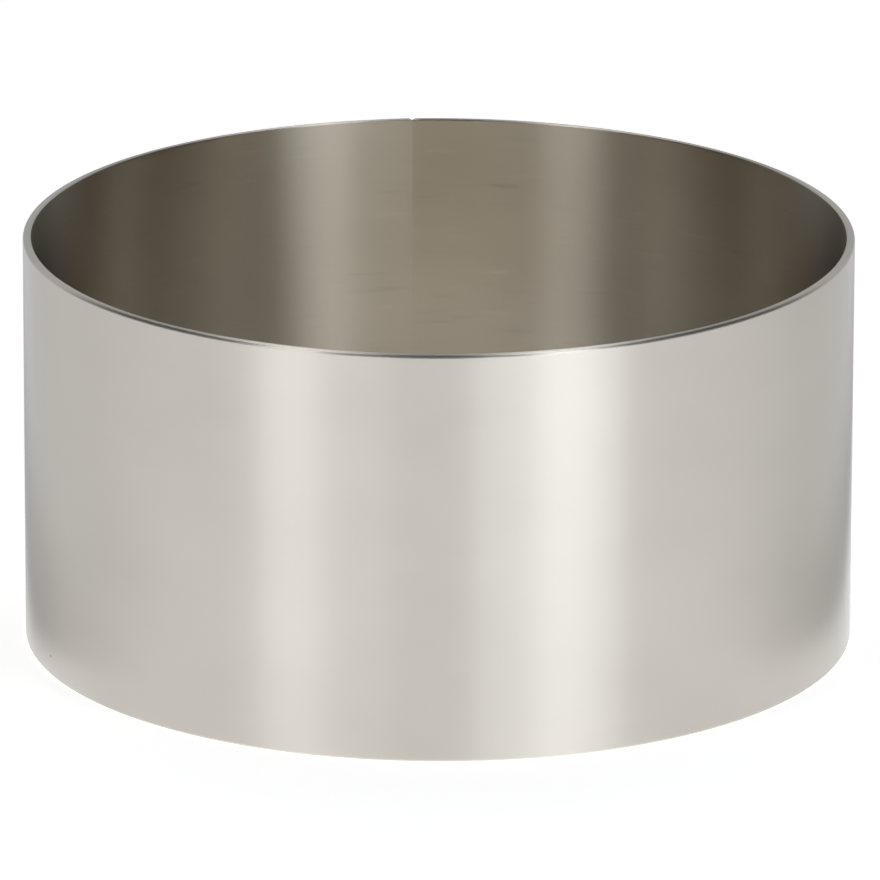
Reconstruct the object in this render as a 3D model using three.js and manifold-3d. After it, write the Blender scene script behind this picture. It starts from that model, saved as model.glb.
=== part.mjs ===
// A food ring: a strip of stainless steel rolled into a hoop and closed by one butt weld.
// Millimetres, +Z up. The origin is the centre of the ring, on the surface that it stands on.
// The weld is at the back, on +Y, and the ring is open at the top and at the bottom.

import * as THREE from "three";
import { mergeVertices } from "three/addons/utils/BufferGeometryUtils.js";
import Module from "manifold-3d";

// Driving dimensions of the rolled band
const OUTER_DIAMETER = 80;
const BAND_HEIGHT = 40;
const WALL = 0.8;
const OUTER_EDGE_RADIUS = 0.3;
const INNER_EDGE_RADIUS = 0.12;

// Driving dimensions of the weld: the gap that it fills between the strip's two ends,
// and how far its dressed crown and root still stand proud of the wall
const WELD_WIDTH = 1.4;
const WELD_CROWN = 0.06;
const WELD_ROOT = 0.04;

// Fineness of the round faces
const RING_SEGMENTS = 144;
const EDGE_DIVISIONS = 2;
const CROWN_SEGMENTS = 6;

// Sizes that follow from the driving dimensions
const outerRadius = OUTER_DIAMETER / 2;
const innerRadius = outerRadius - WALL;

// The two roundings of a rim share the wall, and a flat land is left between them
const LEAST_LAND_SHARE = 0.2;
const roomForEdges = (1 - LEAST_LAND_SHARE) * WALL;
const edgeLimit = Math.min(1, roomForEdges / (OUTER_EDGE_RADIUS + INNER_EDGE_RADIUS));
const outerEdge = OUTER_EDGE_RADIUS * edgeLimit;
const innerEdge = INNER_EDGE_RADIUS * edgeLimit;

const wasm = await Module();
wasm.setup();

/** A closed three.js geometry as a solid that can be cut and joined. */
function solidOf(geometry) {
  const bare = geometry.clone();
  bare.deleteAttribute("normal");
  bare.deleteAttribute("uv");
  const merged = mergeVertices(bare);
  const vertProperties = merged.getAttribute("position").array;
  const triVerts = new Uint32Array(merged.getIndex().array);
  return new wasm.Manifold(new wasm.Mesh({ numProp: 3, vertProperties, triVerts }));
}

/** A solid as a three.js geometry with a sharp normal on every facet. */
function geometryOf(solid) {
  const { vertProperties, triVerts } = solid.getMesh();
  const indexed = new THREE.BufferGeometry();
  indexed.setAttribute("position", new THREE.BufferAttribute(vertProperties, 3));
  indexed.setIndex(new THREE.BufferAttribute(triVerts, 1));
  const faceted = indexed.toNonIndexed();
  faceted.computeVertexNormals();
  return faceted;
}

/**
 * The section of the wall with its four rounded edges, as radius and height, counter-clockwise.
 * proudOutside and proudInside thicken the wall without moving the centres of the roundings.
 */
function wallSection(proudOutside, proudInside) {
  const outer = outerEdge + proudOutside;
  const inner = innerEdge + proudInside;
  const outerCentre = outerRadius - outerEdge;
  const innerCentre = innerRadius + innerEdge;
  const quarter = Math.PI / 2;
  const section = new THREE.Path();
  const corner = (radius, height, size, start) =>
    section.absellipse(radius, height, size.across, size.along, start, start + quarter, false, 0);
  const outerCorner = { across: outer, along: outerEdge };
  const innerCorner = { across: inner, along: innerEdge };
  corner(innerCentre, innerEdge, innerCorner, 2 * quarter);
  corner(outerCentre, outerEdge, outerCorner, 3 * quarter);
  corner(outerCentre, BAND_HEIGHT - outerEdge, outerCorner, 0);
  corner(innerCentre, BAND_HEIGHT - innerEdge, innerCorner, quarter);
  section.closePath();
  return section.getPoints(EDGE_DIVISIONS);
}

/** A full hoop of that section, turned about Z. */
function hoop(proudOutside, proudInside) {
  const turned = new THREE.LatheGeometry(wallSection(proudOutside, proudInside), RING_SEGMENTS);
  return solidOf(turned.rotateX(Math.PI / 2));
}

/** The block that parts the hoop at the back, as wide as the weld. */
function seamGap() {
  const block = new THREE.BoxGeometry(WELD_WIDTH, outerRadius, 2 * BAND_HEIGHT);
  return solidOf(block.translate(0, outerRadius, BAND_HEIGHT / 2));
}

/** The strip, rolled into a hoop whose two flat ends face each other across the gap. */
function rolledBand() {
  return hoop(0, 0).subtract(seamGap());
}

/** The weld that fills the gap: crowned outside, with a root inside, dressed level with both rims. */
function seamWeld() {
  const toe = WELD_WIDTH / 2;
  const outerToe = Math.sqrt(outerRadius ** 2 - toe ** 2);
  const innerToe = Math.sqrt(innerRadius ** 2 - toe ** 2);
  const crownTop = outerRadius + WELD_CROWN;
  const rootTop = innerRadius - WELD_ROOT;
  // A quadratic curve reaches half way to its control point
  const bead = new THREE.Shape();
  bead.moveTo(toe, innerToe);
  bead.lineTo(toe, outerToe);
  bead.quadraticCurveTo(0, 2 * crownTop - outerToe, -toe, outerToe);
  bead.lineTo(-toe, innerToe);
  bead.quadraticCurveTo(0, 2 * rootTop - innerToe, toe, innerToe);
  const options = { depth: BAND_HEIGHT, curveSegments: CROWN_SEGMENTS, bevelEnabled: false };
  const run = solidOf(new THREE.ExtrudeGeometry(bead, options));
  // The hoop that rounds the bead's two ends is thicker than the bead, so it cuts nowhere else
  return run.intersect(hoop(2 * WELD_CROWN, 2 * WELD_ROOT));
}

const bandSteel = new THREE.MeshStandardMaterial({ color: 0xc7c3b8, roughness: 0.32, metalness: 1 });
const weldSteel = new THREE.MeshStandardMaterial({ color: 0xbdb6a8, roughness: 0.45, metalness: 1 });

/** One named piece of the ring. */
function piece(name, solid, material) {
  const mesh = new THREE.Mesh(geometryOf(solid), material);
  mesh.name = name;
  return mesh;
}

const foodRing = new THREE.Group();
foodRing.add(piece("rolled_band", rolledBand(), bandSteel));
foodRing.add(piece("seam_weld", seamWeld(), weldSteel));

export default foodRing;
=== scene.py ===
"""Dresses a food ring: a band of satin steel closed by one dressed weld, on a pale studio floor."""

import logging
import math
from collections.abc import Sequence
from dataclasses import dataclass
from enum import Enum

import bpy
from mathutils import Matrix, Vector


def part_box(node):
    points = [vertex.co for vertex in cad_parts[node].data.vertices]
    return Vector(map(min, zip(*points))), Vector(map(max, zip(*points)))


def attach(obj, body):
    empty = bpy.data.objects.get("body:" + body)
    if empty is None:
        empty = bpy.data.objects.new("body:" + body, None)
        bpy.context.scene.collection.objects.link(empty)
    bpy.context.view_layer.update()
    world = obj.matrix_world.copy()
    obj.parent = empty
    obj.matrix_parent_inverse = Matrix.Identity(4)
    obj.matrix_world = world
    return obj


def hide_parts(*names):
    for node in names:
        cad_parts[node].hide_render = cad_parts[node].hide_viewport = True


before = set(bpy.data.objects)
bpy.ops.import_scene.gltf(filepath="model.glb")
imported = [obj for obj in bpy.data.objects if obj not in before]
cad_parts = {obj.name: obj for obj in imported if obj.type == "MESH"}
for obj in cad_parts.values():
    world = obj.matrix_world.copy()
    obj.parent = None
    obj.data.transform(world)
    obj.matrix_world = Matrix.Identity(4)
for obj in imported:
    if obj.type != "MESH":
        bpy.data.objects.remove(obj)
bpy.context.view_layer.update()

log = logging.getLogger("food_ring")

MM = 0.001
BODY = "root"
PICTURE_PIXELS = 880

Point = tuple[float, float, float]
Colour = tuple[float, float, float]
Socket = bpy.types.NodeSocket
Outputs = bpy.types.NodeOutputs


class Node(Enum):
    """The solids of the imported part."""

    BAND = "rolled_band"
    WELD = "seam_weld"


class Slot(Enum):
    """The record's material slots."""

    BAND = "band_steel"
    WELD = "weld_steel"


# Shapes


@dataclass(frozen=True)
class RingSizes:
    """The sizes that both pieces share, in metres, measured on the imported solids."""

    outer_radius: float
    inner_radius: float
    height: float
    weld_width: float

    @classmethod
    def from_frame(cls) -> "RingSizes":
        """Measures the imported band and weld.

        Returns:
            The ring's radii and height and the width of the gap that the weld fills.
        """
        _, band_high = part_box(Node.BAND.value)
        weld_low, weld_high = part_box(Node.WELD.value)
        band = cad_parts[Node.BAND.value].data
        inner_radius = min(math.hypot(vertex.co.x, vertex.co.y) for vertex in band.vertices)
        return cls(band_high.x, inner_radius, band_high.z, weld_high.x - weld_low.x)


@dataclass(frozen=True)
class WallSection:
    """The section of the wall: two upright faces, two flat rim lands and four rounded edges.

    A row of points close to each rounded edge keeps the shading of the flat faces flat.
    """

    sizes: RingSizes
    outer_edge: float = 0.3 * MM
    inner_edge: float = 0.12 * MM
    edge_steps: int = 10
    wall_rows: int = 12
    guard: float = 0.05 * MM

    def points(self) -> list[tuple[float, float]]:
        """Lists the section once round, counter-clockwise, from the foot of the inner wall.

        Returns:
            Pairs of radius and height, in metres.
        """
        sizes = self.sizes
        corners = (
            (sizes.inner_radius + self.inner_edge, self.inner_edge, self.inner_edge, 180),
            (sizes.outer_radius - self.outer_edge, self.outer_edge, self.outer_edge, 270),
            (sizes.outer_radius - self.outer_edge, sizes.height - self.outer_edge, self.outer_edge, 0),
            (sizes.inner_radius + self.inner_edge, sizes.height - self.inner_edge, self.inner_edge, 90),
        )
        section: list[tuple[float, float]] = []
        for centre_radius, centre_height, size, start in corners:
            arc = []
            for step in range(self.edge_steps + 1):
                turn = math.radians(start + 90 * step / self.edge_steps)
                arc.append((centre_radius + size * math.cos(turn), centre_height + size * math.sin(turn)))
            if section:
                section += self.stretch(section[-1], arc[0])
            section += arc
        return section + self.stretch(section[-1], section[0])

    def stretch(self, start: tuple[float, float], end: tuple[float, float]) -> list[tuple[float, float]]:
        """Divides the flat stretch between two rounded edges.

        Args:
            start: Where the first rounded edge ends.
            end: Where the next one begins.

        Returns:
            The points between them, with one close to each end.
        """
        length = math.dist(start, end)
        shares = [self.guard / length, 1 - self.guard / length]
        if length > self.sizes.height / 2:
            rows = self.wall_rows
            shares[1:1] = [row / rows for row in range(1, rows)]
        return [tuple(near + (far - near) * share for near, far in zip(start, end)) for share in shares]


@dataclass(frozen=True)
class SeamPeak:
    """How the strip's two ends, which rolling leaves a little flat, stand proud where they meet."""

    rise: float = 0.05 * MM
    reach: float = math.radians(7)

    def at(self, angle: float) -> float:
        """Gives how far the wall stands proud at an angle from the weld."""
        share = max(0.0, 1 - abs(angle) / self.reach)
        return self.rise * share * share


class ClosedStrip:
    """A run of the wall section round the ring, closed by a flat face at each end."""

    def __init__(self, name: str) -> None:
        """Starts an empty strip.

        Args:
            name: The name of the piece that the strip becomes.
        """
        self.name = name
        self.columns: list[list[Point]] = []

    def add(self, column: list[Point]) -> None:
        """Adds the next section along the run."""
        self.columns.append(column)

    def piece(self) -> bpy.types.Object:
        """Joins the sections into one closed mesh.

        Returns:
            The new object, linked to the scene and shaded smooth but for its two ends.
        """
        rows = len(self.columns[0])
        points = [point for column in self.columns for point in column]
        faces: list[Sequence[int]] = []
        for start in range(0, len(points) - rows, rows):
            for row in range(rows):
                after = (row + 1) % rows
                faces.append((start + row, start + after, start + rows + after, start + rows + row))
        last = len(points) - rows
        faces.append(range(rows - 1, -1, -1))
        faces.append(range(last, last + rows))
        mesh = bpy.data.meshes.new(self.name)
        mesh.from_pydata(points, [], faces)
        mesh.update()
        for face in mesh.polygons:
            face.use_smooth = len(face.vertices) == 4
        ends = {*range(rows), *range(last, len(points))}
        for edge in mesh.edges:
            edge.use_edge_sharp = ends.issuperset(edge.vertices)
        mesh.validate()
        piece = bpy.data.objects.new(self.name, mesh)
        bpy.context.scene.collection.objects.link(piece)
        return piece


@dataclass
class RolledBand:
    """The strip of sheet steel, rolled into a hoop, with its two ends facing each other at the back."""

    sizes: RingSizes
    section: WallSection
    peak: SeamPeak
    columns: int = 720

    def build(self) -> bpy.types.Object:
        """Builds the band from one end of the strip to the other.

        Returns:
            The band's closed mesh object.
        """
        strip = ClosedStrip("band")
        half_gap = self.sizes.weld_width / 2
        section = self.section.points()
        start = math.asin(half_gap / self.sizes.outer_radius)
        for column in range(self.columns + 1):
            share = column / self.columns
            angle = start + (2 * math.pi - 2 * start) * share
            from_weld = min(angle, 2 * math.pi - angle)
            ring = []
            for radius, height in section:
                proud = radius + self.peak.at(from_weld)
                ring.append((proud * math.sin(angle), proud * math.cos(angle), height))
            if column in (0, self.columns):
                side = half_gap if column == 0 else -half_gap
                ring = [(side, y, z) for _, y, z in ring]
            strip.add(ring)
        return strip.piece()

    def dress(self, piece: bpy.types.Object, finish: "SteelFinish") -> None:
        """Gives the band its finish and its place in the frame.

        Args:
            piece: The band's mesh object.
            finish: The steel that it is dressed in.
        """
        piece.data.materials.append(finish.material())
        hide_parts(Node.BAND.value)
        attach(piece, BODY)


@dataclass
class SeamWeld:
    """The weld between the strip's ends, ground nearly flush, with a small dip at each end of its run."""

    sizes: RingSizes
    section: WallSection
    peak: SeamPeak
    crown: float = 0.008 * MM
    dip_depth: float = 0.22 * MM
    dip_half_width: float = 0.2 * MM
    dip_steepness: int = 40
    columns: int = 24

    def build(self) -> bpy.types.Object:
        """Builds the bead across the gap.

        Returns:
            The weld's closed mesh object.
        """
        strip = ClosedStrip("weld_bead")
        half_gap = self.sizes.weld_width / 2
        middle = (self.sizes.outer_radius + self.sizes.inner_radius) / 2
        section = self.section.points()
        for column in range(self.columns + 1):
            across = half_gap * (2 * column / self.columns - 1)
            bulge = self.crown * (1 - (across / half_gap) ** 2)
            dip = self.dip_depth * math.exp(-((across / self.dip_half_width) ** 2))
            ring = []
            for radius, height in section:
                crowned = radius + (bulge if radius > middle else 0.0)
                proud = crowned + self.peak.at(math.asin(across / radius))
                ring.append((across, math.sqrt(proud**2 - across**2), self.dipped(radius, height, dip)))
            strip.add(ring)
        return strip.piece()

    def dipped(self, radius: float, height: float, dip: float) -> float:
        """Draws the two ends of the bead in, most at the outside.

        Args:
            radius: The point's distance from the ring's axis.
            height: The point's height before it is drawn in.
            dip: How deep the dip is at this place across the bead.

        Returns:
            The point's height.
        """
        sizes = self.sizes
        outward = (radius - sizes.inner_radius) / (sizes.outer_radius - sizes.inner_radius)
        from_middle = 2 * height / sizes.height - 1
        near_end = math.copysign(abs(from_middle) ** self.dip_steepness, from_middle)
        return height - dip * outward * near_end

    def dress(self, piece: bpy.types.Object, finish: "SteelFinish") -> None:
        """Gives the weld its finish and its place in the frame.

        Args:
            piece: The weld's mesh object.
            finish: The steel that it is dressed in.
        """
        piece.data.materials.append(finish.material())
        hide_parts(Node.WELD.value)
        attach(piece, BODY)


# Finishes


class NodeBench:
    """Places nodes in one node tree and joins them."""

    def __init__(self, tree: bpy.types.NodeTree) -> None:
        """Works on a node tree.

        Args:
            tree: The tree of a material, a group or the world.
        """
        self.tree = tree

    def place(self, kind: str, **settings: object) -> bpy.types.Node:
        """Adds a node.

        Args:
            kind: Blender's name of the node type.
            settings: Properties of the node.

        Returns:
            The new node.
        """
        node = self.tree.nodes.new(kind)
        for name, value in settings.items():
            setattr(node, name, value)
        return node

    def feed(self, target: Socket, source: "Socket | float | Sequence[float]") -> None:
        """Gives an input socket a link or a plain value.

        Args:
            target: The input socket.
            source: The output socket that it is linked to, or its value.
        """
        if isinstance(source, bpy.types.NodeSocket):
            self.tree.links.new(source, target)
        else:
            target.default_value = source

    def reckon(self, operation: str, *terms: "Socket | float") -> Socket:
        """Works out one arithmetic step.

        Args:
            operation: Blender's name of the operation.
            terms: The sockets or numbers that it takes.

        Returns:
            The socket that holds the result.
        """
        node = self.place("ShaderNodeMath", operation=operation)
        for target, term in zip(node.inputs, terms):
            self.feed(target, term)
        return node.outputs[0]

    def spread(self, value: Socket, low: float, high: float, to_low: float, to_high: float) -> Socket:
        """Maps a stretch of values onto another, smoothly and held at both ends.

        Args:
            value: What is mapped.
            low: Start of the stretch.
            high: End of the stretch.
            to_low: Result at the start.
            to_high: Result at the end.

        Returns:
            The socket that holds the result.
        """
        node = self.place("ShaderNodeMapRange", interpolation_type="SMOOTHSTEP")
        for target, source in zip(node.inputs, (value, low, high, to_low, to_high)):
            self.feed(target, source)
        return node.outputs["Result"]

    def blend(self, share: Socket, plain: "Socket | Colour", other: "Socket | Colour") -> Socket:
        """Mixes two colours.

        Args:
            share: How much of the second colour shows.
            plain: The first colour.
            other: The second colour.

        Returns:
            The socket that holds the mixed colour.
        """
        node = self.place("ShaderNodeMix", data_type="RGBA", blend_type="MIX")
        self.feed(node.inputs["Factor"], share)
        colours = [socket for socket in node.inputs if socket.type == "RGBA"]
        for target, source in zip(colours, (plain, other)):
            self.feed(target, source if isinstance(source, bpy.types.NodeSocket) else (*source, 1))
        return next(socket for socket in node.outputs if socket.type == "RGBA")

    def blend_numbers(self, share: Socket, plain: Socket, other: Socket) -> Socket:
        """Mixes two numbers."""
        return self.reckon("MULTIPLY_ADD", share, self.reckon("SUBTRACT", other, plain), plain)

    def noise(self, place: Socket, detail: float) -> Socket:
        """Adds a noise texture that changes once in a unit of its coordinates.

        Args:
            place: The coordinates.
            detail: How many finer octaves it has.

        Returns:
            The socket that holds the noise, from 0 to 1.
        """
        node = self.place("ShaderNodeTexNoise")
        self.feed(node.inputs["Vector"], place)
        self.feed(node.inputs["Scale"], 1.0)
        self.feed(node.inputs["Detail"], detail)
        return node.outputs["Fac"]

    def length(self, x: Socket, y: Socket) -> Socket:
        """Works out how long a flat step is."""
        squares = self.reckon("ADD", self.reckon("MULTIPLY", x, x), self.reckon("MULTIPLY", y, y))
        return self.reckon("SQRT", squares)

    def vector(self, x: "Socket | float", y: "Socket | float", z: "Socket | float") -> Socket:
        """Joins three numbers into a vector.

        Args:
            x: The first number.
            y: The second number.
            z: The third number.

        Returns:
            The socket that holds the vector.
        """
        node = self.place("ShaderNodeCombineXYZ")
        for target, source in zip(node.inputs, (x, y, z)):
            self.feed(target, source)
        return node.outputs[0]


class EffectGroup:
    """A shared effect: a shader node group that is built once and placed in each material."""

    def __init__(self, name: str, inputs: dict[str, float], outputs: Sequence[str]) -> None:
        """Makes the empty group.

        Args:
            name: The group's name.
            inputs: Its input sockets and their usual values.
            outputs: Its output sockets.
        """
        self.tree = bpy.data.node_groups.new(name, "ShaderNodeTree")
        for label, usual in inputs.items():
            socket = self.tree.interface.new_socket(label, in_out="INPUT", socket_type="NodeSocketFloat")
            socket.default_value = usual
        for label in outputs:
            self.tree.interface.new_socket(label, in_out="OUTPUT", socket_type="NodeSocketFloat")
        self.bench = NodeBench(self.tree)
        self.given = self.bench.place("NodeGroupInput").outputs
        self.result = self.bench.place("NodeGroupOutput").inputs

    def placed_in(self, bench: NodeBench, **values: Socket) -> bpy.types.Node:
        """Places the group in a material.

        Args:
            bench: The material's nodes.
            values: The sockets that its inputs are linked to.

        Returns:
            The group node.
        """
        node = bench.place("ShaderNodeGroup", node_tree=self.tree)
        for label, value in values.items():
            bench.feed(node.inputs[label], value)
        return node


class Effects:
    """The effects that the steel finishes share.

    Lengths in them are in millimetres. Pits are strewn in cells, so many to a millimetre, and the edge of
    a pit is measured in cells.
    """

    face_change: tuple[float, float] = (0.1, 0.25)
    line_offset: float = 3.7
    line_octaves: float = 3.0
    scratch_octaves: float = 1.0
    scratch_face_step: float = 5.0
    bright_marks: tuple[float, float] = (0.62, 0.8)
    dark_marks: tuple[float, float] = (0.38, 0.2)
    smear_octaves: float = 2.0
    smear_flatness: float = 1.8
    pit_cells: float = 0.12
    cells_without_pits: float = 0.8
    pit_edge: tuple[float, float] = (0.01, 0.02)

    def __init__(self, sizes: RingSizes) -> None:
        """Builds the groups.

        Args:
            sizes: The ring's sizes.
        """
        self.height = sizes.height / MM
        self.radius = sizes.outer_radius / MM
        self.inner_radius = sizes.inner_radius / MM
        self.wrap = self.wrapped_place()
        self.grain = self.brushed_grain()
        self.scratches = self.fine_scratches()
        self.handling = self.handling_marks()
        self.rims = self.ground_rims()

    def wrapped_place(self) -> EffectGroup:
        """Unrolls the wall: how far round, up and out a place is, how far from the weld, and on which face.

        Returns:
            The group.
        """
        group = EffectGroup("wrapped_place", {}, ("Around", "Up", "Out", "From Weld", "Inside"))
        bench = group.bench
        place = bench.place("ShaderNodeTexCoord").outputs["Object"]
        split = bench.place("ShaderNodeSeparateXYZ")
        bench.feed(split.inputs[0], place)
        x, y, z = split.outputs
        angle = bench.reckon("ARCTAN2", x, bench.reckon("MULTIPLY", y, -1.0))
        bench.feed(group.result["Around"], bench.reckon("MULTIPLY", angle, self.radius))
        bench.feed(group.result["Up"], bench.reckon("DIVIDE", z, MM))
        out = bench.reckon("DIVIDE", bench.length(x, y), MM)
        bench.feed(group.result["Out"], out)
        start, end = (self.inner_radius + share for share in self.face_change)
        bench.feed(group.result["Inside"], bench.spread(out, start, end, 1.0, 0.0))
        away = bench.reckon("SUBTRACT", math.pi, bench.reckon("ABSOLUTE", angle))
        bench.feed(group.result["From Weld"], bench.reckon("MULTIPLY", away, self.radius))
        return group

    def brushed_grain(self) -> EffectGroup:
        """Draws fine lines along the brushing.

        Returns:
            The group.
        """
        inputs = {"Along": 0.0, "Across": 0.0, "Depth": 0.0, "Length": 6.0, "Pitch": 0.01}
        group = EffectGroup("brushed_grain", inputs, ("Lines",))
        bench = group.bench
        along = bench.reckon("DIVIDE", group.given["Along"], group.given["Length"])
        across = bench.reckon("DIVIDE", group.given["Across"], group.given["Pitch"])
        depth = bench.reckon("DIVIDE", group.given["Depth"], group.given["Pitch"])
        offset = bench.reckon("MULTIPLY_ADD", across, self.line_offset, along)
        place = bench.vector(offset, across, depth)
        bench.feed(group.result["Lines"], bench.noise(place, self.line_octaves))
        return group

    def fine_scratches(self) -> EffectGroup:
        """Draws sparse scratches along the brushing: some catch the light and some look dark.

        Returns:
            The group.
        """
        inputs = {
            "Along": 0.0,
            "Across": 0.0,
            "Inside": 0.0,
            "Length": 7.0,
            "Pitch": 0.6,
            "Outside Share": 0.1,
        }
        group = EffectGroup("fine_scratches", inputs, ("Bright", "Dark"))
        bench = group.bench
        along = bench.reckon("DIVIDE", group.given["Along"], group.given["Length"])
        across = bench.reckon("DIVIDE", group.given["Across"], group.given["Pitch"])
        inside = group.given["Inside"]
        face = bench.reckon("MULTIPLY", inside, self.scratch_face_step)
        marks = bench.noise(bench.vector(along, across, face), self.scratch_octaves)
        outside = bench.reckon("SUBTRACT", 1.0, inside)
        share = bench.reckon("MULTIPLY_ADD", outside, group.given["Outside Share"], inside)
        for label, marked in (("Bright", self.bright_marks), ("Dark", self.dark_marks)):
            shown = bench.spread(marks, *marked, 0.0, 1.0)
            bench.feed(group.result[label], bench.reckon("MULTIPLY", share, shown))
        return group

    def handling_marks(self) -> EffectGroup:
        """Draws faint broad smears from wiping, and sparse tiny pits.

        Returns:
            The group.
        """
        inputs = {"Along": 0.0, "Across": 0.0, "Size": 16.0}
        group = EffectGroup("handling_marks", inputs, ("Smears", "Pits"))
        bench = group.bench
        along = bench.reckon("DIVIDE", group.given["Along"], group.given["Size"])
        across = bench.reckon("DIVIDE", group.given["Across"], group.given["Size"])
        flattened = bench.reckon("MULTIPLY", across, self.smear_flatness)
        place = bench.vector(along, flattened, 0.0)
        bench.feed(group.result["Smears"], bench.noise(place, self.smear_octaves))
        cells = bench.place("ShaderNodeTexVoronoi", feature="F1")
        bench.feed(cells.inputs["Vector"], bench.vector(group.given["Along"], group.given["Across"], 0.0))
        bench.feed(cells.inputs["Scale"], self.pit_cells)
        chance = bench.place("ShaderNodeSeparateColor")
        bench.feed(chance.inputs[0], cells.outputs["Color"])
        chosen = bench.reckon("GREATER_THAN", chance.outputs[0], self.cells_without_pits)
        pits = bench.spread(cells.outputs["Distance"], *self.pit_edge, 1.0, 0.0)
        bench.feed(group.result["Pits"], bench.reckon("MULTIPLY", pits, chosen))
        return group

    def ground_rims(self) -> EffectGroup:
        """Marks the rims, from 0 on the wall to 1 on the rim.

        Returns:
            The group.
        """
        group = EffectGroup("ground_rims", {"Up": 0.0, "Reach": 0.5}, ("Rim",))
        bench = group.bench
        below_top = bench.reckon("SUBTRACT", self.height, group.given["Up"])
        nearest = bench.reckon("MINIMUM", group.given["Up"], below_top)
        share = bench.reckon("DIVIDE", nearest, group.given["Reach"])
        bench.feed(group.result["Rim"], bench.spread(share, 0.0, 1.0, 1.0, 0.0))
        return group


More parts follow.
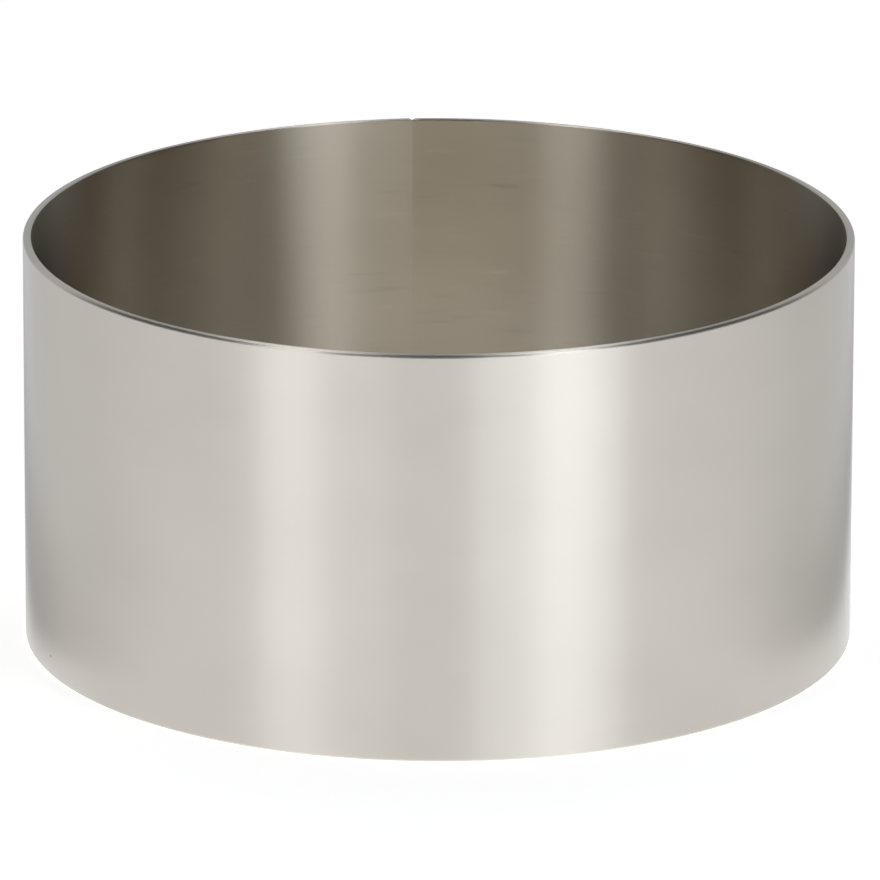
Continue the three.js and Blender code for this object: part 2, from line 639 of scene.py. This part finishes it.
@dataclass(frozen=True)
class SteelFinish:
    """Satin steel: its colour, its gloss, and how strongly each mark shows.

    A broad gloss, smeared upright across the brushing, lies under a sharper one, which the coat gives.
    The heat's reach from the weld is in millimetres.
    """

    name: str
    effects: Effects
    colour: Colour
    # The inner face's colour is darker and warmer than the outer: painted shade and painted bounce light
    # inside the ring.
    inner_shaded_colour: Colour
    heat_colour: Colour
    roughness: float = 0.37
    line_roughness: float = 0.06
    polish_roughness: float = 0.2
    polish_index: float = 2.05
    anisotropy: float = 1.0
    brushed_round: float = 0.25
    dullness: float = 0.12
    line_dullness: float = 0.05
    # The dull colour serves real wear and also the painted shade of dark scratches; the bright colour is
    # the painted glint of bright scratches.
    worn_and_shaded_colour: Colour = (0.4, 0.36, 0.3)
    glint_colour: Colour = (0.9, 0.88, 0.84)
    pit_colour: Colour = (0.12, 0.11, 0.09)
    scratch_share: float = 0.08
    scratch_roughness: float = 0.06
    smear_roughness: float = 0.03
    rim_roughness: float = 0.01
    scratch_height: float = 0.002 * MM
    edge_tint: Colour = (0.42, 0.42, 0.42)
    heat_reach: float = 1.5
    heat_share: float = 0.1

    def material(self) -> bpy.types.Material:
        """Builds the finish.

        Returns:
            The new material.
        """
        material = bpy.data.materials.new(self.name)
        material.use_nodes = True
        bench = NodeBench(material.node_tree)
        shader = material.node_tree.nodes["Principled BSDF"].inputs
        effects = self.effects
        wrap = effects.wrap.placed_in(bench).outputs
        along, across, inside = wrap["Around"], wrap["Up"], wrap["Inside"]
        grain = effects.grain.placed_in(bench, Along=along, Across=across, Depth=wrap["Out"])
        lines = grain.outputs["Lines"]
        scratches = effects.scratches.placed_in(bench, Along=along, Across=across, Inside=inside).outputs
        marks = effects.handling.placed_in(bench, Along=along, Across=across).outputs
        rim = effects.rims.placed_in(bench, Up=across).outputs["Rim"]
        bench.feed(shader["Base Color"], self.tinted(bench, wrap, lines, scratches, marks))
        bench.feed(shader["Roughness"], self.gloss(bench, lines, scratches, marks, rim))
        bench.feed(shader["Metallic"], 1.0)
        bench.feed(shader["Specular Tint"], (*self.edge_tint, 1))
        bench.feed(shader["Coat Weight"], 1.0)
        bench.feed(shader["Coat Roughness"], self.polish_roughness)
        bench.feed(shader["Coat IOR"], self.polish_index)
        bench.feed(shader["Anisotropic"], self.anisotropy)
        bench.feed(shader["Anisotropic Rotation"], self.brushed_round)
        tangent = bench.place("ShaderNodeTangent", direction_type="RADIAL", axis="Z")
        bench.feed(shader["Tangent"], tangent.outputs["Tangent"])
        bump = bench.place("ShaderNodeBump")
        bench.feed(bump.inputs["Distance"], self.scratch_height)
        relief = bench.reckon("SUBTRACT", scratches["Bright"], scratches["Dark"])
        bench.feed(bump.inputs["Height"], relief)
        bench.feed(shader["Normal"], bump.outputs["Normal"])
        return material

    def tinted(
        self, bench: NodeBench, wrap: Outputs, lines: Socket, scratches: Outputs, marks: Outputs
    ) -> Socket:
        """Colours the two faces, the inner one darker and warmer as painted shade and painted warm bounce
        light, and adds wear, scratches, pits and a trace of heat by the weld.

        Args:
            bench: The material's nodes.
            wrap: Outputs of the unrolled place.
            lines: The brushed lines.
            scratches: Outputs of the fine scratches.
            marks: Outputs of the handling marks.

        Returns:
            The socket that holds the colour.
        """
        # The inner face gets its darker, warmer colour here: painted shade and painted bounce light inside
        # the ring.
        colour = bench.blend(wrap["Inside"], self.colour, self.inner_shaded_colour)
        worn = bench.reckon("MULTIPLY", marks["Smears"], self.dullness)
        worn = bench.reckon("MULTIPLY_ADD", lines, self.line_dullness, worn)
        colour = bench.blend(worn, colour, self.worn_and_shaded_colour)
        # Scratches are real marks, but the lighter tone of the bright ones is a painted glint and the
        # darker tone of the dark ones painted shade, beside their real roughness and relief.
        for label, tone in (("Dark", self.worn_and_shaded_colour), ("Bright", self.glint_colour)):
            share = bench.reckon("MULTIPLY", scratches[label], self.scratch_share)
            colour = bench.blend(share, colour, tone)
        colour = bench.blend(marks["Pits"], colour, self.pit_colour)
        outside = bench.reckon("SUBTRACT", 1.0, wrap["Inside"])
        heat = bench.spread(wrap["From Weld"], 0.0, self.heat_reach, self.heat_share, 0.0)
        return bench.blend(bench.reckon("MULTIPLY", heat, outside), colour, self.heat_colour)

    def gloss(
        self, bench: NodeBench, lines: Socket, scratches: Outputs, marks: Outputs, rim: Socket
    ) -> Socket:
        """Works out the roughness from the lines, the scratches, the smears and the ground rims.

        Args:
            bench: The material's nodes.
            lines: The brushed lines.
            scratches: Outputs of the fine scratches.
            marks: Outputs of the handling marks.
            rim: How close the place is to a rim.

        Returns:
            The socket that holds the roughness.
        """
        smooth = self.roughness - self.line_roughness / 2
        rough = bench.reckon("MULTIPLY_ADD", lines, self.line_roughness, smooth)
        dulled = bench.reckon("SUBTRACT", scratches["Dark"], scratches["Bright"])
        rough = bench.reckon("MULTIPLY_ADD", dulled, self.scratch_roughness, rough)
        rough = bench.reckon("MULTIPLY_ADD", marks["Smears"], self.smear_roughness, rough)
        return bench.reckon("MULTIPLY_ADD", rim, self.rim_roughness, rough)


# Studio


@dataclass(frozen=True)
class Direction:
    """A direction from the ring, seen from the camera's side: degrees to the right and degrees up."""

    to_right: float
    up: float

    def vector(self, studio_turn: float) -> Vector:
        """Gives the unit vector from the ring.

        Args:
            studio_turn: Degrees by which the studio is turned about the ring.

        Returns:
            The unit vector.
        """
        side = math.radians(self.to_right + studio_turn)
        rise = math.radians(self.up)
        return Vector((math.sin(side) * math.cos(rise), -math.cos(side) * math.cos(rise), math.sin(rise)))


@dataclass(frozen=True)
class LightPanel:
    """A flat soft light that the camera doesn't see."""

    name: str
    width: float
    length: float
    radiance: float
    colour: Colour

    def build(self) -> bpy.types.Object:
        """Makes the panel at the origin, facing down.

        Returns:
            The light's object.
        """
        light = bpy.data.lights.new(self.name, "AREA")
        light.shape = "RECTANGLE"
        light.size, light.size_y = self.width, self.length
        light.energy = self.radiance * self.width * self.length * math.pi
        light.color = self.colour
        panel = bpy.data.objects.new(self.name, light)
        panel.visible_camera = False
        bpy.context.scene.collection.objects.link(panel)
        return panel


@dataclass(frozen=True)
class Softbox:
    """An upright soft light panel close to the ring, turned towards its axis.

    It stands some degrees to the right, seen from the camera's side. Its lengths are in metres.
    """

    name: str
    to_right: float
    width: float
    foot: float
    top: float
    radiance: float
    colour: Colour
    distance: float = 0.33

    def build(self, studio_turn: float) -> None:
        """Stands the panel up.

        Args:
            studio_turn: Degrees by which the studio is turned about the ring.
        """
        length = self.top - self.foot
        panel = LightPanel(self.name, self.width, length, self.radiance, self.colour).build()
        out = Direction(self.to_right, 0.0).vector(studio_turn)
        panel.location = out * self.distance + Vector((0, 0, (self.top + self.foot) / 2))
        panel.rotation_euler = out.to_track_quat("Z", "Y").to_euler()


@dataclass(frozen=True)
class Overhead:
    """A level soft light panel above and behind the ring, to one side of it. Its lengths are in metres."""

    name: str
    to_right: float
    width: float
    radiance: float
    colour: Colour
    behind: float = 0.3
    height: float = 0.6
    depth: float = 0.5

    def build(self, studio_turn: float) -> None:
        """Hangs the panel up.

        Args:
            studio_turn: Degrees by which the studio is turned about the ring.
        """
        panel = LightPanel(self.name, self.width, self.depth, self.radiance, self.colour).build()
        turned = Matrix.Rotation(math.radians(studio_turn), 3, "Z")
        panel.location = turned @ Vector((self.to_right, self.behind, self.height))
        panel.rotation_euler = turned.to_euler()


@dataclass(frozen=True)
class Floor:
    """A pale round floor that keeps the ring's soft shadow.

    Its glow stands for the light that it gets from the rest of the room. The lens sees it even, and
    dimmer inside the ring as painted shade. In the steel it sinks on both sides of the ring, painted
    shade as if dark cards stood there, and inside the ring only a warm painted pool of light near the
    front wall is left of it. Its lengths are in metres.
    """

    ring_radius: float
    radius: float = 4.0
    colour: Colour = (0.78, 0.78, 0.78)
    glow: float = 0.86
    seen_glow: float = 0.745
    seen_inside_shaded: float = 0.45
    glow_colour: Colour = (1.0, 1.0, 1.0)
    pool_glow_colour: Colour = (1.0, 0.9, 0.74)
    near_shade: float = 0.7
    shade: float = 0.36
    shade_centre: float = 0.002
    shade_start: tuple[float, float] = (0.0405, 0.049)
    shade_easing: tuple[float, float] = (0.052, 0.08)
    shade_apex: float = 0.037
    shade_spread: tuple[float, float] = (-0.15, 0.85)
    shade_widening: float = 0.06
    inside: float = 0.04
    pool: float = 0.76
    pool_in_front: float = 0.024
    pool_edge: tuple[float, float] = (0.016, 0.036)
    sides: int = 96

    def build(self, studio_turn: float) -> None:
        """Lays the floor at the height of the lower rim.

        Args:
            studio_turn: Degrees by which the studio is turned about the ring.
        """
        mesh = bpy.data.meshes.new("floor")
        rim = []
        for side in range(self.sides):
            turn = 2 * math.pi * side / self.sides
            rim.append((self.radius * math.cos(turn), self.radius * math.sin(turn), 0.0))
        mesh.from_pydata(rim, [], [range(self.sides)])
        floor = bpy.data.objects.new("floor", mesh)
        floor.rotation_euler.z = math.radians(studio_turn)
        bpy.context.scene.collection.objects.link(floor)
        mesh.materials.append(self.material())

    def material(self) -> bpy.types.Material:
        """Builds the floor's paper: a matt white that glows a little where the lens or the steel sees it.

        Returns:
            The new material.
        """
        material = bpy.data.materials.new("floor_paper")
        material.use_nodes = True
        material.node_tree.nodes.clear()
        bench = NodeBench(material.node_tree)
        paper = bench.place("ShaderNodeBsdfDiffuse")
        bench.feed(paper.inputs["Color"], (*self.colour, 1))
        ray = bench.place("ShaderNodeLightPath").outputs
        mirrored = bench.reckon("MAXIMUM", ray["Is Glossy Ray"], ray["Is Transmission Ray"])
        glow = bench.place("ShaderNodeEmission")
        split = bench.place("ShaderNodeSeparateXYZ")
        bench.feed(split.inputs[0], bench.place("ShaderNodeTexCoord").outputs["Object"])
        x, y, _ = split.outputs
        within = bench.reckon("LESS_THAN", bench.length(x, y), self.ring_radius)
        # Inside the ring the steel sees a warm painted pool of light on the floor.
        warmed = bench.reckon("MULTIPLY", within, mirrored)
        bench.feed(glow.inputs["Color"], bench.blend(warmed, self.glow_colour, self.pool_glow_colour))
        outside = self.outside_strength(bench, x, y)
        inside = self.inside_strength(bench, x, y)
        shaded = bench.blend_numbers(within, outside, inside)
        # Inside the ring the lens sees a weaker glow: painted shade for the ring's shadow on the floor.
        even = bench.reckon("MULTIPLY_ADD", within, self.seen_inside_shaded - self.seen_glow, self.seen_glow)
        seen = bench.reckon("MULTIPLY", ray["Is Camera Ray"], even)
        bench.feed(glow.inputs["Strength"], bench.reckon("MULTIPLY_ADD", mirrored, shaded, seen))
        lit = bench.place("ShaderNodeAddShader")
        bench.feed(lit.inputs[0], paper.outputs[0])
        bench.feed(lit.inputs[1], glow.outputs[0])
        sides = bench.place("ShaderNodeMixShader")
        bench.feed(sides.inputs[0], bench.place("ShaderNodeNewGeometry").outputs["Backfacing"])
        bench.feed(sides.inputs[1], lit.outputs[0])
        bench.feed(sides.inputs[2], bench.place("ShaderNodeBsdfTransparent").outputs[0])
        bench.feed(bench.place("ShaderNodeOutputMaterial").inputs["Surface"], sides.outputs[0])
        return material

    def outside_strength(self, bench: NodeBench, x: Socket, y: Socket) -> Socket:
        """Works out how strongly the floor glows outside the ring, with painted shade on both sides of the
        ring that only the steel sees.

        Args:
            bench: The material's nodes.
            x: The place to the right of the ring's axis.
            y: The place behind the ring's axis.

        Returns:
            The socket that holds the strength of the glow.
        """
        # Painted shade: the glow sinks on both sides of the ring, as seen in the steel.
        to_side = bench.reckon("ABSOLUTE", bench.reckon("SUBTRACT", x, self.shade_centre))
        behind = bench.reckon("MAXIMUM", y, 0.0)
        past_view = bench.reckon("MULTIPLY_ADD", behind, -self.shade_widening, to_side)
        beside = bench.spread(past_view, *self.shade_start, 0.0, 1.0)
        slope = bench.reckon("DIVIDE", bench.reckon("ADD", y, self.shade_apex), to_side)
        shaded = bench.reckon("MULTIPLY", beside, bench.spread(slope, *self.shade_spread, 0.0, 1.0))
        depth = bench.spread(to_side, *self.shade_easing, self.near_shade, self.shade)
        kept = bench.reckon("SUBTRACT", 1.0, bench.reckon("MULTIPLY", shaded, depth))
        return bench.reckon("MULTIPLY", kept, self.glow)

    def inside_strength(self, bench: NodeBench, x: Socket, y: Socket) -> Socket:
        """Works out how strongly the floor glows inside the ring: a painted pool of light near the front
        wall over a faint painted glow.

        Args:
            bench: The material's nodes.
            x: The place to the right of the ring's axis.
            y: The place behind the ring's axis.

        Returns:
            The socket that holds the strength of the glow.
        """
        from_pool = bench.length(x, bench.reckon("ADD", y, self.pool_in_front))
        return bench.spread(from_pool, *self.pool_edge, self.inside + self.pool, self.inside)


@dataclass(frozen=True)
class Surroundings:
    """The room: a backdrop, a wall behind the camera with the paper's end below it, and a dark ceiling."""

    backdrop: Colour = (0.56, 0.56, 0.56)
    front_wall: Colour = (0.01, 0.01, 0.01)
    front_paper: Colour = (1.0, 1.0, 0.95)
    ceiling: Colour = (0.01, 0.01, 0.01)
    backdrop_top: tuple[float, float] = (28.0, 50.0)
    front_top: tuple[float, float] = (35.0, 60.0)
    paper_top: tuple[float, float] = (1.0, 6.0)
    reach: tuple[float, float] = (0.3, 0.75)

    def build(self) -> None:
        """Paints the world."""
        world = bpy.data.worlds.new("room")
        bpy.context.scene.world = world
        world.use_nodes = True
        bench = NodeBench(world.node_tree)
        split = bench.place("ShaderNodeSeparateXYZ")
        bench.feed(split.inputs[0], bench.place("ShaderNodeTexCoord").outputs["Generated"])
        _, behind, up = split.outputs
        in_front = bench.reckon("MULTIPLY", behind, -1.0)
        parts = (
            (self.front_top, in_front, self.front_wall),
            (self.paper_top, in_front, self.front_paper),
            (self.backdrop_top, behind, self.backdrop),
        )
        colour = self.ceiling
        for top, side, tone in parts:
            colour = bench.blend(self.below(bench, up, top, side), colour, tone)
        bench.feed(world.node_tree.nodes["Background"].inputs["Color"], colour)

    def below(self, bench: NodeBench, up: Socket, top: tuple[float, float], side: Socket) -> Socket:
        """Marks the part of the room on one side, up to an elevation.

        Args:
            bench: The world's nodes.
            up: The upward part of the direction.
            top: Degrees up at which the part begins to fade and ends.
            side: How far the direction points to that side.

        Returns:
            The socket that holds the mark, from 0 to 1.
        """
        low, high = (math.sin(math.radians(angle)) for angle in top)
        share = bench.spread(up, low, high, 1.0, 0.0)
        return bench.reckon("MULTIPLY", share, bench.spread(side, *self.reach, 0.0, 1.0))


@dataclass(frozen=True)
class PhotoCamera:
    """The camera at the photograph's angle: a long lens that looks down a little, into the ring.

    Its angles are in degrees, the sensor is in millimetres and its other lengths are in metres.
    """

    distance: float = 1.2
    elevation: float = 17.62
    pixels_per_radian: float = 12415.0
    aim_height: float = 0.01912
    aim_to_right: float = 0.00016
    roll: float = 0.14
    sensor: float = 36.0

    def build(self, studio_turn: float) -> None:
        """Sets the camera up.

        Args:
            studio_turn: Degrees by which the studio is turned about the ring.
        """
        camera = bpy.data.cameras.new("camera")
        camera.sensor_width = self.sensor
        camera.lens = self.sensor * self.pixels_per_radian / PICTURE_PIXELS
        holder = bpy.data.objects.new("camera", camera)
        out = Direction(0.0, self.elevation).vector(studio_turn)
        aside = Direction(90.0, 0.0).vector(studio_turn) * self.aim_to_right
        holder.location = Vector((0, 0, self.aim_height)) + aside + out * self.distance
        level = out.to_track_quat("Z", "Y").to_matrix()
        holder.rotation_euler = (level @ Matrix.Rotation(math.radians(self.roll), 3, "Z")).to_euler()
        bpy.context.scene.collection.objects.link(holder)
        bpy.context.scene.camera = holder


@dataclass
class Studio:
    """The floor, the lights and the camera, turned about the ring together, and the room round them."""

    sizes: RingSizes
    turn: float = -3.85

    def softboxes(self) -> list[Softbox]:
        """Lists the upright panels: low fills for the outer wall, and softboxes that light both walls.

        Returns:
            The panels.
        """
        return [
            Softbox(
                "left_fill",
                to_right=-29.0,
                width=0.2,
                foot=0.005,
                top=0.12,
                radiance=0.5,
                colour=(0.85, 0.93, 1.0),
            ),
            Softbox(
                "left_softbox",
                to_right=-44.3,
                width=0.11,
                foot=0.2,
                top=0.45,
                radiance=2.88,
                colour=(0.99, 0.99, 1.0),
            ),
            Softbox(
                "right_fill",
                to_right=29.0,
                width=0.24,
                foot=0.005,
                top=0.14,
                radiance=1.2,
                colour=(0.8, 0.9, 1.0),
            ),
            Softbox(
                "right_softbox",
                to_right=38.0,
                width=0.105,
                foot=0.2,
                top=0.45,
                radiance=3.75,
                colour=(0.93, 0.97, 1.0),
            ),
        ]

    def overheads(self) -> list[Overhead]:
        """Lists the panels above the ring, which light its rims.

        Returns:
            The panels.
        """
        return [
            Overhead("left_overhead", to_right=-0.13, width=0.13, radiance=2.2, colour=(1.0, 1.0, 1.0)),
            Overhead("right_overhead", to_right=0.11, width=0.11, radiance=2.6, colour=(0.98, 1.0, 1.0)),
        ]

    def build(self) -> None:
        """Sets the studio up round the ring."""
        bpy.context.scene.view_settings.view_transform = "Standard"
        Floor(self.sizes.inner_radius).build(self.turn)
        Surroundings().build()
        for light in (*self.softboxes(), *self.overheads()):
            light.build(self.turn)
        PhotoCamera().build(self.turn)


def steel_finishes(sizes: RingSizes) -> tuple[SteelFinish, SteelFinish]:
    """Chooses the steels.

    Args:
        sizes: The ring's sizes.

    Returns:
        The finish of the band and that of the weld.
    """
    effects = Effects(sizes)
    band = SteelFinish(
        "satin_steel",
        effects,
        colour=(0.83, 0.775, 0.69),
        inner_shaded_colour=(0.73, 0.67, 0.57),
        heat_colour=(0.55, 0.5, 0.42),
    )
    weld = SteelFinish(
        "dressed_weld",
        effects,
        colour=(0.77, 0.715, 0.63),
        inner_shaded_colour=(0.73, 0.67, 0.57),
        heat_colour=(0.5, 0.45, 0.37),
        heat_share=0.25,
    )
    return band, weld


def main() -> None:
    """Builds the ring and its studio, in order."""
    logging.basicConfig(level=logging.INFO, format="%(name)s: %(message)s")
    sizes = RingSizes.from_frame()
    Studio(sizes).build()
    log.info("studio ready")
    section = WallSection(sizes)
    peak = SeamPeak()
    for maker, finish in zip((RolledBand, SeamWeld), steel_finishes(sizes)):
        part = maker(sizes, section, peak)
        piece = part.build()
        part.dress(piece, finish)
        log.info("%s: %d faces", piece.name, len(piece.data.polygons))


if __name__ == "__main__":
    main()
